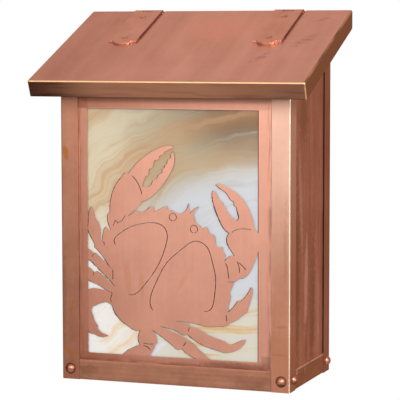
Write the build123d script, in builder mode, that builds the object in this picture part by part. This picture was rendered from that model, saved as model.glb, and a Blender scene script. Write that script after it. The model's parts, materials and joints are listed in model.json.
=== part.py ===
"""Wall mounted mailbox in riveted sheet copper, with a crab cut out of its front over art glass.

Millimetres, +Z up.  X runs across the box, the front faces -Y and the back lies on the wall
at y = 0.  The origin is the middle of the four wall screw holes.
"""
from build123d import *
from math import asin, cos, radians, sin, tan
import os

os.makedirs("parts", exist_ok=True)

# ---------------------------------------------------------------- driving dimensions
WIDTH = 254.0            # box, outside of the corner angles
DEPTH = 146.0            # wall to the face of the corner angles
BASE = -190.0            # underside of the box, below the wall screws' centre
SHEET = 1.0              # copper sheet
BEND = 2.0               # outside radius of a folded corner

ANGLE_LEG = 20.0         # front corner angles
TRAY_H = 21.6            # upturned edge of the bottom tray
BACK_FLANGE = 23.5       # back panel, folded forward over the sides

PANEL_T = 1.5            # cut-out front panel
WINDOW_L, WINDOW_R = -97.0, 92.8
WINDOW_B, WINDOW_T = 29.6, 288.8
LINE_W = 0.8             # saw-cut drawing lines
GLASS_T = 3.0
GLASS_LAP = 8.0          # glass behind the copper round the window

LID_WIDTH = 302.5
LID_SLOPE = 22.75        # degrees
LID_FRONT = 185.5        # front edge of the lid, down the slope from the hinge pins
LID_REAR = 4.2           # back edge of the lid, behind the pins
LID_EDGE = 18.35         # turned-down edge, square to the sheet
LID_GAP = 0.3            # closed lid over the box

STRAP_X = 81.5           # hinges, left and right of the middle
STRAP_W = 32.5
STRAP_T = 2.5
STRAP_L = 85.0           # pin to the shoulders
TONGUE_L = 6.0           # tip beyond the shoulders
PIN_R = 1.6
PIN_HEAD_OUT = 1.3       # peened ends beyond the knuckles
PIN_HEAD_R = 2.6
PIN_HEAD_T = 1.0
PIN_Y = -5.1
PIN_UP = 388.4           # pins above the underside
KNUCKLE_W = 11.0         # middle knuckle, on the fixed leaf
RUN_FIT = 0.05           # pin in the lid's knuckles
DRIVE_FIT = 0.01         # pin in the middle knuckle
LEAF_L = 60.0            # fixed leaf below the pin
STRAP_RIVET_DROPS = (19.0, 76.5)     # rivets down the slope from the pins
LEAF_RIVET_DROPS = (18.0, 46.0)      # rivets below the pins

RIVET_R = 5.1            # domed corner rivets
RIVET_H = 3.9
SHANK_R = 2.45
HOLE_R = 2.5
TAIL_R = 3.8             # upset end inside the box
TAIL_H = 1.4
DOME_R = 4.0             # low domes on the hinges
DOME_H = 1.2
RIVET_UP = 11.4          # corner rivets above the underside
RIVET_X = 117.5          # front pair, left and right of the middle
FRONT_RIVET_Y = -130.4   # on the sides, near the front
REAR_RIVET_Y = -9.1      # on the sides, near the wall

SCREW_DX, SCREW_DZ = 152.4, 203.2
SCREW_R = 2.75

CLIP_T = 0.8             # clips that hold the glass
CLIP_W = 12.0
CLIP_FOOT = 8.0          # soldered to the panel
CLIP_LIP = 5.0           # over the glass
CLIP_GAP = 0.3           # beside the glass's edge
CLIP_EASE = 0.05         # over the glass's back

# ---------------------------------------------------------------- worked-out places
HALF = WIDTH / 2
PIN_Z = BASE + PIN_UP
INNER = HALF - SHEET                      # outer face of the side panels
FACE = -(DEPTH - SHEET)                   # front of the cut-out panel
PANEL_BACK = FACE + PANEL_T
GLASS_BACK = PANEL_BACK + GLASS_T
SLOPE = radians(LID_SLOPE)
ROLL_R = PIN_R + STRAP_T                  # outside of a rolled knuckle
LID_TOP = PIN_R                           # lid's upper face over the pin line
LID_UNDER = LID_TOP - SHEET
BACK_TOP = PIN_Z - 4.0
PIN_CLEAR = 5.0                           # room round the pins for the lid's back edge
KNUCKLE_CLEAR = ROLL_R + 0.3              # room round the other hinge half's knuckles
STRAP_HALF = STRAP_W / 2
THROUGH = 12.0                            # a cut this deep goes right through a sheet
BEYOND = 60.0                             # a cut this wide runs off the work
SIDES = {"left": -1, "right": 1}

down_slope = Vector(0, -cos(SLOPE), -sin(SLOPE))
lid_up = Vector(0, -sin(SLOPE), cos(SLOPE))


def lid_plane(height, x=0.0):
    """Plane parallel to the lid, height above the pin line; its y runs up the slope."""
    return Plane(origin=Vector(x, PIN_Y, PIN_Z) + lid_up * height, x_dir=(1, 0, 0), z_dir=lid_up)


def hinge_section(x):
    """Plane square to the pins: its x runs down the slope and its y out of the lid."""
    return Plane(origin=(x, PIN_Y, PIN_Z), x_dir=down_slope, z_dir=(-1, 0, 0))


def under_lid(y):
    """Height of the box's upper edges at y."""
    return PIN_Z + (y - PIN_Y) * tan(SLOPE) + (LID_UNDER - LID_GAP) / cos(SLOPE)


def trim_to_lid():
    """Cut a sheet of the box to the slope of the closed lid, and clear round the pins."""
    front, rear = -DEPTH - THROUGH, THROUGH
    top = PIN_Z + BEYOND
    with BuildSketch(Plane.YZ) as above:
        with BuildLine():
            Polyline((front, under_lid(front)), (PIN_Y, under_lid(PIN_Y)), (PIN_Y, BACK_TOP),
                     (rear, BACK_TOP), (rear, top), (front, top), close=True)
        make_face()
        with Locations((PIN_Y, PIN_Z)):
            Circle(PIN_CLEAR)
    extrude(above.sketch, amount=WIDTH, both=True, mode=Mode.SUBTRACT)


def fold(section, outside, inside):
    """Round both sides of a right-angled fold in a sheet's section."""
    fillet(section.vertices().sort_by_distance(outside)[0], BEND)
    fillet(section.vertices().sort_by_distance(inside)[0], BEND - SHEET)


def rivet(seat, head_r, head_h, grip, tail_r, tail_h):
    """Domed rivet: seat lies on the outer sheet, its normal out through the head."""
    ball = (head_r**2 + head_h**2) / (2 * head_h)
    half_way = asin(head_r / ball) / 2
    with BuildSketch(Plane(origin=seat.origin, x_dir=seat.x_dir, z_dir=-seat.y_dir)) as half:
        with BuildLine():
            Polyline((0, head_h), (0, -grip - tail_h), (tail_r, -grip - tail_h), (tail_r, -grip),
                     (SHANK_R, -grip), (SHANK_R, 0), (head_r, 0))
            ThreePointArc((head_r, 0), (ball * sin(half_way), head_h - ball * (1 - cos(half_way))),
                          (0, head_h))
        make_face()
    revolve(half.sketch, axis=Axis(seat.origin, seat.z_dir))


# ---------------------------------------------------------------- back panel
# A pan folded from one sheet: the web lies on the wall and its edges wrap over the sides.
with BuildPart() as back_panel:
    with BuildSketch(Plane.XY.offset(BASE)) as pan:
        with BuildLine():
            Polyline((-HALF, -BACK_FLANGE), (-HALF, 0), (HALF, 0), (HALF, -BACK_FLANGE),
                     (INNER, -BACK_FLANGE), (INNER, -SHEET), (-INNER, -SHEET),
                     (-INNER, -BACK_FLANGE), close=True)
        make_face()
        for side in SIDES.values():
            fold(pan, (side * HALF, 0), (side * INNER, -SHEET))
    extrude(amount=PIN_UP)
    trim_to_lid()
    with BuildSketch(Plane.XZ):
        with GridLocations(SCREW_DX, SCREW_DZ, 2, 2):
            Circle(SCREW_R)
        for drop in LEAF_RIVET_DROPS:
            with Locations((-STRAP_X, PIN_Z - drop), (STRAP_X, PIN_Z - drop)):
                Circle(HOLE_R)
    extrude(amount=THROUGH, both=True, mode=Mode.SUBTRACT)
    with BuildSketch(Plane.XZ):
        for drop in LEAF_RIVET_DROPS:
            with Locations((-STRAP_X, PIN_Z - drop), (STRAP_X, PIN_Z - drop)):
                Circle(TAIL_R + RUN_FIT)
    extrude(amount=SHEET / 2, mode=Mode.SUBTRACT)
    with BuildSketch(Plane.YZ):
        with Locations((REAR_RIVET_Y, BASE + RIVET_UP)):
            Circle(HOLE_R)
    extrude(amount=WIDTH, both=True, mode=Mode.SUBTRACT)

# ---------------------------------------------------------------- side panels
# Plain sheets inside the angles and the back panel's folded edges, cut to the lid's slope.
side_panels = {}
for name, side in SIDES.items():
    with BuildPart() as side_panel:
        with BuildSketch(Plane.YZ.offset(side * (INNER - SHEET / 2))):
            with BuildLine():
                Polyline((PANEL_BACK, BASE + BEND), (-BEND, BASE + BEND), (-BEND, PIN_Z),
                         (PANEL_BACK, PIN_Z), close=True)
            make_face()
            with Locations((FRONT_RIVET_Y, BASE + RIVET_UP), (REAR_RIVET_Y, BASE + RIVET_UP)):
                Circle(HOLE_R, mode=Mode.SUBTRACT)
        extrude(amount=SHEET / 2, both=True)
        trim_to_lid()
    side_panels[name] = side_panel

# ---------------------------------------------------------------- bottom tray
# Floor with upturned edges that fill the gaps between the corner angles and the back's folds.
tray_gap = 0.2
rear_lip = 230.0
rear_lip_h = 15.0
front_edge = WIDTH - 2 * (ANGLE_LEG + tray_gap)
side_front = -DEPTH + ANGLE_LEG + tray_gap
side_rear = -BACK_FLANGE - tray_gap


def upturned_edge(fold_line, outward, length, height):
    """Fold up one edge of the tray; fold_line is the middle of the floor's edge there."""
    with BuildSketch(Plane(origin=fold_line, x_dir=outward,
                           z_dir=Vector(outward).cross(Vector(0, 0, 1)))) as upturn:
        with BuildLine():
            Polyline((0, 0), (BEND, 0), (BEND, height), (BEND - SHEET, height),
                     (BEND - SHEET, SHEET), (0, SHEET), close=True)
        make_face()
        fold(upturn, (BEND, 0), (BEND - SHEET, SHEET))
    extrude(upturn.sketch, amount=length / 2, both=True)


with BuildPart() as bottom_tray:
    floor_front, floor_rear = -DEPTH + BEND, -SHEET - BEND
    with BuildSketch(Plane.XY.offset(BASE)):
        with Locations((0, (floor_front + floor_rear) / 2)):
            Rectangle(WIDTH - 2 * BEND, floor_rear - floor_front)
    extrude(amount=SHEET)
    upturned_edge((0, floor_front, BASE), (0, -1, 0), front_edge, TRAY_H)
    upturned_edge((0, floor_rear, BASE), (0, 1, 0), rear_lip, rear_lip_h)
    for side in SIDES.values():
        upturned_edge((side * (HALF - BEND), (side_front + side_rear) / 2, BASE), (side, 0, 0),
                      side_rear - side_front, TRAY_H)

# ---------------------------------------------------------------- front corner angles
# Folded from sheet, full height, lapped over the cut-out panel and the sides.
corner_angles = {}
for name, side in SIDES.items():
    with BuildPart() as corner_angle:
        with BuildSketch(Plane.XY.offset(BASE)) as ell:
            with BuildLine():
                Polyline((side * (HALF - ANGLE_LEG), -DEPTH), (side * HALF, -DEPTH),
                         (side * HALF, -DEPTH + ANGLE_LEG), (side * INNER, -DEPTH + ANGLE_LEG),
                         (side * INNER, FACE), (side * (HALF - ANGLE_LEG), FACE), close=True)
            make_face()
            fold(ell, (side * HALF, -DEPTH), (side * INNER, FACE))
        extrude(amount=PIN_UP)
        trim_to_lid()
        with BuildSketch(Plane.XZ.offset(DEPTH)):
            with Locations((side * RIVET_X, BASE + RIVET_UP)):
                Circle(HOLE_R)
        extrude(amount=-THROUGH, mode=Mode.SUBTRACT)
        with BuildSketch(Plane.YZ):
            with Locations((FRONT_RIVET_Y, BASE + RIVET_UP)):
                Circle(HOLE_R)
        extrude(amount=WIDTH, both=True, mode=Mode.SUBTRACT)
    corner_angles[name] = corner_angle

# ---------------------------------------------------------------- cut-out front panel
# One sheet.  Each opening is the glass showing between the crab and its frame, drawn in
# strokes that meet end to end: Spline for a smooth edge, Polyline for a straight or
# toothed one.  Outlines are in millimetres from the middle and from the underside.
panel_face = Plane(origin=(0, FACE, BASE), x_dir=(1, 0, 0), z_dir=(0, -1, 0))
panel_clear = 1.1        # panel inside the corner angles
eye_r = 3.9              # middle of the ring sawn round each eye
eye_bridge = 22.0        # degrees left uncut, so that the eye stays in place


def opening(*strokes):
    """Cut one opening from strokes that meet end to end."""
    with BuildLine() as outline:
        for stroke, points in strokes:
            stroke(*points)
    make_face(outline.edges(), mode=Mode.SUBTRACT)


def saw_line(*points):
    """Cut one thin drawing line."""
    with BuildLine() as path:
        if len(points) > 2:
            Spline(*points)
        else:
            Line(*points)
    trace(path.edges(), line_width=LINE_W, mode=Mode.SUBTRACT)


def eye(x, up):
    """Saw a ring round one eye, all but a bridge at its foot."""
    with BuildLine() as ring:
        CenterArc((x, up), eye_r, -90 + eye_bridge / 2, 360 - eye_bridge)
    trace(ring.edges(), line_width=LINE_W, mode=Mode.SUBTRACT)


with BuildPart() as crab_panel:
    with BuildSketch(panel_face):
        with Locations((0, (PIN_UP + BEND) / 2)):
            Rectangle(2 * (INNER - panel_clear), PIN_UP - BEND)
        with Locations((-RIVET_X, RIVET_UP), (RIVET_X, RIVET_UP)):
            Circle(HOLE_R, mode=Mode.SUBTRACT)

        # above the crab, round both raised claws and along the toothed shell
        opening(
            (Polyline, [(WINDOW_L, 163), (WINDOW_L, WINDOW_T), (WINDOW_R, WINDOW_T), (WINDOW_R, 163.7)]),
            # right claw: outer edge, fingers, inner edge and wrist
            (Spline, [(WINDOW_R, 163.7), (89.3, 166.8), (87.2, 175.5), (83, 186.5), (76.5, 197),
                      (68, 204.7), (57, 210.7), (50.5, 213), (46.8, 211.9)]),
            (Spline, [(46.8, 211.9), (51, 208.4), (57, 204.9)]),
            (Polyline, [(57, 204.9), (60.6, 200.2), (62.7, 196.8), (66.2, 195.2), (66.7, 191.1),
                        (69.6, 188.8)]),
            (Spline, [(69.6, 188.8), (70.4, 184.5), (71.6, 178.5), (70.2, 175.9), (67, 177.5)]),
            (Polyline, [(67, 177.5), (62.9, 178.6), (61.3, 182.6), (58.1, 185.4), (57.5, 188.8),
                        (55, 190.6), (54.2, 194), (50.9, 195.6), (49.8, 198.6), (48, 200)]),
            (Spline, [(48, 200), (46.4, 203.8), (44.4, 205.6), (42.6, 203)]),
            (Spline, [(42.6, 203), (43.6, 194.5), (46.5, 185.5), (51, 174.8), (55.5, 167.2), (61.5, 162.6)]),
            (Spline, [(61.5, 162.6), (59, 158.5), (58.8, 153.5), (61.5, 147.3), (67.3, 139.2)]),
            (Spline, [(67.3, 139.2), (62, 138.8), (58.5, 136), (56.4, 132.3)]),
            # toothed right edge of the shell
            (Spline, [(56.4, 132.3), (56.2, 136), (57, 139.8)]),
            (Spline, [(57, 139.8), (54.8, 142.5), (54.2, 147.8)]),
            (Spline, [(54.2, 147.8), (50, 147.4), (46.4, 148.4)]),
            (Spline, [(46.4, 148.4), (46.3, 153.5), (45, 158.8), (41.5, 160.9)]),
            (Spline, [(41.5, 160.9), (38.8, 162.8), (37.9, 166.3), (35.5, 168)]),
            (Spline, [(35.5, 168), (31.5, 166.5), (29, 168.9), (26, 170.8)]),
            # feelers
            (Spline, [(26, 170.8), (23.2, 175), (22.5, 181), (25, 185.4), (28.2, 188.9)]),
            (Spline, [(28.2, 188.9), (24, 186.8), (18.4, 181)]),
            (Spline, [(18.4, 181), (17.4, 185.5), (16.6, 191.6)]),
            (Spline, [(16.6, 191.6), (15.2, 186.7), (12, 182.5), (7, 180.8)]),
            # toothed front edge of the shell, into the cleft under the left claw
            (Spline, [(7, 180.8), (2, 182), (-2, 184), (-6.6, 184.6)]),
            (Polyline, [(-6.6, 184.6), (-7, 188.2)]),
            (Spline, [(-7, 188.2), (-12, 186.6), (-16.5, 184), (-21.9, 182)]),
            (Spline, [(-21.9, 182), (-22, 185), (-23, 187.2)]),
            (Spline, [(-23, 187.2), (-27, 185.9), (-31, 182.5), (-36, 181.2), (-41.5, 183.2)]),
            (Spline, [(-41.5, 183.2), (-45, 180), (-51.2, 176.2)]),
            # left claw: lower edge, toothed gap between the fingers, back of the claw
            (Spline, [(-51.2, 176.2), (-46, 181.6), (-40, 186.6), (-34.6, 192.8)]),
            (Spline, [(-34.6, 192.8), (-28, 195.3), (-20, 201.5), (-12, 210.3), (-4.5, 221.5), (-0.3, 229.5),
                      (0.9, 238), (-0.4, 245.4)]),
            (Polyline, [(-0.4, 245.4), (-2.6, 242), (-2.6, 238.6), (-6.2, 236.6), (-7.2, 231.6),
                        (-9.4, 230.8), (-9.6, 228), (-12.2, 226.8), (-12.4, 222.6), (-16.6, 220.6),
                        (-18.2, 216.8), (-22.6, 214.8), (-24.7, 209.8)]),
            (Spline, [(-24.7, 209.8), (-29, 207.6), (-34.5, 208.5), (-33.6, 212.5), (-31.5, 218.3)]),
            (Polyline, [(-31.5, 218.3), (-28.2, 219.4), (-27.2, 226.4), (-23.6, 227.8), (-21.4, 235.2),
                        (-16.4, 236.8), (-15.6, 240.4), (-11.4, 242), (-10.6, 244.2), (-4, 247.3)]),
            (Spline, [(-4, 247.3), (-1.5, 248.7), (0.5, 249.7)]),
            (Spline, [(0.5, 249.7), (-5, 250.7), (-14, 248.9), (-24, 244.4), (-35, 237), (-44, 228.7),
                      (-50.5, 220.8)]),
            (Spline, [(-50.5, 220.8), (-53, 222), (-57, 218.7), (-63, 211), (-67.8, 202), (-70.4, 192.5),
                      (-71.2, 180.3)]),
            (Polyline, [(-71.2, 180.3), (-73.4, 178.6)]),
            (Spline, [(-73.4, 178.6), (-74.2, 173), (-73, 167.5), (-70.3, 161.8)]),
            # points of the first two left legs
            (Spline, [(-70.3, 161.8), (-73.5, 161), (-76, 164.4)]),
            (Spline, [(-76, 164.4), (-78.8, 160), (-79.6, 153.5), (-80.3, 148.3)]),
            (Polyline, [(-80.3, 148.3), (-81.7, 148.3)]),
            (Spline, [(-81.7, 148.3), (-82.3, 157), (-83.5, 165.5), (-84.9, 169.2)]),
            (Spline, [(-84.9, 169.2), (-87, 171.5), (-90, 178), (-92.7, 185.4)]),
            (Spline, [(-92.7, 185.4), (-95.2, 179.5), (-95.9, 171), (WINDOW_L, 163)]),
        )
        # three gaps between the left legs, each running out to the frame
        opening(
            (Polyline, [(WINDOW_L, 140.3), (WINDOW_L, 161.2)]),
            (Spline, [(WINDOW_L, 161.2), (-93.5, 154), (-88.9, 146)]),
            (Polyline, [(-88.9, 146), (-89.2, 142.4)]),
            (Spline, [(-89.2, 142.4), (-83.5, 137.5), (-76.5, 128.8), (-68.6, 118.5)]),
            (Spline, [(-68.6, 118.5), (-75, 125), (-82, 131.3), (-88, 136.4)]),
            (Polyline, [(-88, 136.4), (-90.3, 136)]),
            (Spline, [(-90.3, 136), (-93, 138.6), (WINDOW_L, 140.3)]),
        )
        opening(
            (Polyline, [(WINDOW_L, 120.8), (WINDOW_L, 128.7)]),
            (Spline, [(WINDOW_L, 128.7), (-94, 128), (-89, 123.7), (-80, 115.5), (-70, 106), (-67, 102.8)]),
            (Polyline, [(-67, 102.8), (-67.6, 101.6)]),
            (Spline, [(-67.6, 101.6), (-75, 108.3), (-82, 114.6), (-86, 116.8)]),
            (Spline, [(-86, 116.8), (-90.3, 116.4), (-93, 118.7), (WINDOW_L, 120.8)]),
        )
        opening(
            (Polyline, [(WINDOW_L, 96.4), (WINDOW_L, 107.8)]),
            (Spline, [(WINDOW_L, 107.8), (-92.5, 105.2), (-84, 102), (-78, 98.6), (-72.5, 95.6)]),
            (Spline, [(-72.5, 95.6), (-80, 97.3), (-88, 98.6), (WINDOW_L, 96.4)]),
        )
        # lower left, round the hooked leg and down to the paddle leg
        opening(
            (Polyline, [(-57.3, WINDOW_B), (WINDOW_L, WINDOW_B), (WINDOW_L, 53.3)]),
            (Spline, [(WINDOW_L, 53.3), (-94.8, 50.7), (-90, 49.9)]),
            (Spline, [(-90, 49.9), (-85, 47.5), (-79.5, 47.1), (-74, 49.3)]),
            (Spline, [(-74, 49.3), (-79, 50.4), (-84, 53.3), (-86.3, 56.5)]),
            (Spline, [(-86.3, 56.5), (-86, 58.2), (-88.5, 62), (-91.3, 68.5), (-93.3, 75), (-91, 79.3)]),
            (Spline, [(-91, 79.3), (-85, 82), (-77.5, 84.5), (-69.3, 81)]),
            (Spline, [(-69.3, 81), (-66.5, 74.5), (-60, 66.3), (-51, 60), (-43, 56.1), (-37.5, 56.4)]),
            (Spline, [(-37.5, 56.4), (-39.7, 50.5), (-39.7, 45), (-37.6, 41.3)]),
            (Spline, [(-37.6, 41.3), (-44, 38.4), (-52, 34.2), (-57.3, WINDOW_B)]),
        )
        # below the shell, between the paddle leg and the next one
        opening(
            (Polyline, [(25.3, WINDOW_B), (-27.2, WINDOW_B), (-24.6, 33.5), (-22.3, 37.8), (-21, 41.5),
                        (-18.3, 44.8)]),
            (Spline, [(-18.3, 44.8), (-19.6, 50.5), (-24.3, 57.8)]),
            (Spline, [(-24.3, 57.8), (-15, 52), (-5, 45.1), (3.5, 38.6)]),
            (Spline, [(3.5, 38.6), (6, 38.4), (9, 39.9)]),
            (Spline, [(9, 39.9), (13, 35.8), (19, 32.2), (25.3, WINDOW_B)]),
        )
        # lower right, round three legs and up to the right claw's elbow
        opening(
            (Polyline, [(41.3, WINDOW_B), (WINDOW_R, WINDOW_B), (WINDOW_R, 146)]),
            (Spline, [(WINDOW_R, 146), (90.5, 138), (87, 130), (82.5, 121.5), (76, 116.2)]),
            (Spline, [(76, 116.2), (72.3, 116), (69, 113.3), (65.5, 112)]),
            (Polyline, [(65.5, 112), (65.8, 110.3)]),
            (Spline, [(65.8, 110.3), (63.8, 105.5), (61.5, 101)]),
            (Spline, [(61.5, 101), (62.7, 97.5), (61.3, 90), (60.2, 80.2)]),
            (Spline, [(60.2, 80.2), (64, 84), (68, 88.8), (70.3, 92.6)]),
            (Polyline, [(70.3, 92.6), (72.2, 93), (73, 92.2)]),
            (Spline, [(73, 92.2), (78.5, 97), (82, 101.8), (85, 107.3)]),
            (Spline, [(85, 107.3), (86.6, 104.5), (85, 97), (83.5, 90), (81, 84.5)]),
            (Polyline, [(81, 84.5), (81.2, 82)]),
            (Spline, [(81.2, 82), (75, 77.3), (69.5, 72.8), (61.5, 68.8), (56.5, 65.2)]),
            (Spline, [(56.5, 65.2), (48, 65.2), (40, 64.2), (28, 66), (14, 68), (2, 67.8)]),
            (Spline, [(2, 67.8), (9, 66.8), (16.3, 66.3)]),
            (Spline, [(16.3, 66.3), (18.5, 64), (27, 61), (37, 56), (48, 52.2), (57, 49.5)]),
            (Spline, [(57, 49.5), (62, 46.9), (70, 49.2), (79.5, 52.6)]),
            (Spline, [(79.5, 52.6), (74, 44.5), (65, 39.6), (56, 37.9)]),
            (Spline, [(56, 37.9), (43, 41.3), (31, 45.2), (21, 50.8), (15.5, 55)]),
            (Spline, [(15.5, 55), (13.3, 54), (5, 57), (-6, 60.3), (-15.3, 61.8)]),
            (Spline, [(-15.3, 61.8), (-8, 58.9), (0, 56.4), (9, 52.8)]),
            (Spline, [(9, 52.8), (17, 48.3), (24, 43), (32, 36.2), (41.3, WINDOW_B)]),
        )

        # the two long shell lines
        saw_line((-65.5, 146), (-66.5, 152), (-61, 157.5), (-50, 164.5), (-35, 169), (-20, 170.2),
                 (-10.5, 166), (-7, 158), (-8.8, 147), (-14, 132.5), (-23.5, 116.5), (-35, 102),
                 (-43, 94.7), (-50, 93.5))
        saw_line((-23.5, 78.5), (-26.6, 86), (-25, 95.5), (-18, 111.5), (-7, 130), (8, 143), (25, 152.8),
                 (36, 148), (42.5, 132.5), (46, 118), (45, 96), (40, 81.7), (34, 80))
        # claw joints and the folds behind them
        saw_line((-46.5, 219), (-41.5, 214), (-37.5, 207), (-35.4, 199.8))
        saw_line((64, 163.3), (70, 166.5), (77, 167.4), (84.5, 166.9))
        zigzag = [(-68, 165.5), (-65.6, 171.6), (-62.5, 169), (-58, 171.2), (-54.4, 176.8)]
        for start, end in zip(zigzag, zigzag[1:]):
            saw_line(start, end)
        saw_line((57, 131), (59.6, 124.5), (60.2, 119), (61, 115.2))
        saw_line((69.8, 133.3), (72, 127), (72, 121.8))
        saw_line((72, 132.3), (79.5, 125.2))
        saw_line((60, 111.9), (66, 111.9))
        # leg joints
        saw_line((-78.7, 148.5), (-78.2, 144.8))
        saw_line((-68.6, 119), (-68.4, 114), (-68.8, 108.5))
        saw_line((-73, 95.8), (-69.7, 93.6), (-70.8, 90.3), (-70, 85.4))
        saw_line((-91.8, 131.5), (-90.8, 134.8))
        saw_line((-91.3, 112), (-90.3, 115.2))
        saw_line((-34.2, 43.2), (-29, 42.2), (-23.6, 42.7))
        saw_line((-34.5, 40.2), (-30, 39.3), (-26.6, 35.8))
        saw_line((13.2, 46.3), (11.8, 44), (10.8, 42.3))
        saw_line((17.4, 62.4), (16.3, 58.3))
        saw_line((57.8, 77), (58.4, 71))
        eye(-0.8, 177)
        eye(22.5, 165.3)
    extrude(amount=-PANEL_T)
    trim_to_lid()

# ---------------------------------------------------------------- art glass
# One pane against the back of the cut-out panel.
glass_l, glass_r = WINDOW_L - GLASS_LAP, WINDOW_R + GLASS_LAP
glass_b, glass_t = WINDOW_B - GLASS_LAP, WINDOW_T + GLASS_LAP
glass_corner = 1.5
with BuildPart() as art_glass:
    with BuildSketch(panel_face.offset(-PANEL_T)):
        with Locations(((glass_l + glass_r) / 2, (glass_b + glass_t) / 2)):
            RectangleRounded(glass_r - glass_l, glass_t - glass_b, glass_corner)
    extrude(amount=-GLASS_T)

# ---------------------------------------------------------------- glass clips
# Bent copper clips soldered to the panel: a foot, a riser and a lip over the glass.
def glass_clip(x, up, away):
    """Clip at a point of the glass edge; away points from the glass along the panel."""
    outward = Vector(away[0], 0, away[1])
    origin = (x, PANEL_BACK, BASE + up)
    lip = GLASS_T + CLIP_EASE
    riser = CLIP_GAP + CLIP_T
    with BuildSketch(Plane(origin=origin, x_dir=outward, z_dir=outward.cross(Vector(0, 1, 0)))) as bent:
        with BuildLine():
            Polyline((CLIP_GAP, 0), (CLIP_FOOT, 0), (CLIP_FOOT, CLIP_T), (riser, CLIP_T),
                     (riser, lip + CLIP_T), (-CLIP_LIP, lip + CLIP_T), (-CLIP_LIP, lip),
                     (CLIP_GAP, lip), close=True)
        make_face()
    extrude(bent.sketch, amount=CLIP_W / 2, both=True)


with BuildPart() as glass_clips:
    for up in (90, 230):
        glass_clip(glass_l, up, (-1, 0))
        glass_clip(glass_r, up, (1, 0))
    for x in (-50, 46):
        glass_clip(x, glass_b, (0, -1))
        glass_clip(x, glass_t, (0, 1))

# ---------------------------------------------------------------- corner rivets
# Large domed rivets hold the angles and the back's folds at the bottom corners.
two_sheets = 2 * SHEET
with BuildPart() as front_corner_rivets:
    for side in SIDES.values():
        corner = (side * RIVET_X, -DEPTH, BASE + RIVET_UP)
        seat = Plane(origin=corner, x_dir=(1, 0, 0), z_dir=(0, -1, 0))
        rivet(seat, RIVET_R, RIVET_H, SHEET + PANEL_T, TAIL_R, TAIL_H)
with BuildPart() as side_front_rivets:
    for side in SIDES.values():
        corner = (side * HALF, FRONT_RIVET_Y, BASE + RIVET_UP)
        seat = Plane(origin=corner, x_dir=(0, 1, 0), z_dir=(side, 0, 0))
        rivet(seat, RIVET_R, RIVET_H, two_sheets, TAIL_R, TAIL_H)
with BuildPart() as side_rear_rivets:
    for side in SIDES.values():
        corner = (side * HALF, REAR_RIVET_Y, BASE + RIVET_UP)
        seat = Plane(origin=corner, x_dir=(0, 1, 0), z_dir=(side, 0, 0))
        rivet(seat, RIVET_R, RIVET_H, two_sheets, TAIL_R, TAIL_H)

# ---------------------------------------------------------------- lid
# A shallow pan: the sheet slopes to the front, its front and sides are turned down and
# soldered at the corners.  Two notches at the back let the hinge knuckles through.
notch_front = 5.0
notch_half = STRAP_HALF + PIN_HEAD_OUT + 0.4
end_corner = 4.0
with BuildPart() as lid_pan:
    with BuildSketch(lid_plane(LID_TOP)):
        with Locations((0, (LID_REAR - LID_FRONT) / 2)):
            Rectangle(LID_WIDTH, LID_FRONT + LID_REAR)
    extrude(amount=-LID_EDGE)
    across_sheet = Axis(lid_plane(0).origin, lid_up)
    along_slope = Axis(lid_plane(0).origin, down_slope)
    top_edges = lid_pan.faces().sort_by(across_sheet)[-1].edges()
    front_face = lid_pan.faces().sort_by(along_slope)[-1]
    front_corners = front_face.edges().filter_by(across_sheet)
    side_tops = top_edges.filter_by(along_slope)
    front_top = top_edges.filter_by(Axis.X).sort_by_distance(front_face.center())[0]
    fillet(ShapeList([*side_tops, *front_corners, front_top]), BEND)
    open_below = lid_pan.faces().sort_by(across_sheet)[0]
    open_behind = lid_pan.faces().sort_by(along_slope)[0]
    offset(amount=-SHEET, openings=[open_below, open_behind])
    # the turned-down sides end square to the wall, with a rounded lower corner
    side_end = PIN_Y + LID_REAR * cos(SLOPE) - LID_TOP * sin(SLOPE)
    side_foot = PIN_Z + LID_REAR * sin(SLOPE) + LID_TOP * cos(SLOPE) - LID_EDGE / cos(SLOPE)
    with BuildSketch(Plane.YZ) as lid_end:
        with BuildLine():
            Polyline((side_end, side_foot + BEYOND), (side_end, side_foot),
                     (side_end - THROUGH, side_foot - THROUGH * tan(SLOPE)),
                     (side_end - THROUGH, side_foot - BEYOND), (side_end + BEYOND, side_foot - BEYOND),
                     (side_end + BEYOND, side_foot + BEYOND), close=True)
        make_face()
        fillet(lid_end.vertices().sort_by_distance((side_end, side_foot))[0], end_corner)
    extrude(amount=LID_WIDTH, both=True, mode=Mode.SUBTRACT)
    with BuildSketch(lid_plane(LID_TOP)):
        for side in SIDES.values():
            with Locations((side * STRAP_X, (THROUGH - notch_front) / 2)):
                Rectangle(2 * notch_half, THROUGH + notch_front)
            for drop in STRAP_RIVET_DROPS:
                with Locations((side * STRAP_X, -drop)):
                    Circle(HOLE_R)
    extrude(amount=THROUGH / 2, both=True, mode=Mode.SUBTRACT)

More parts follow.
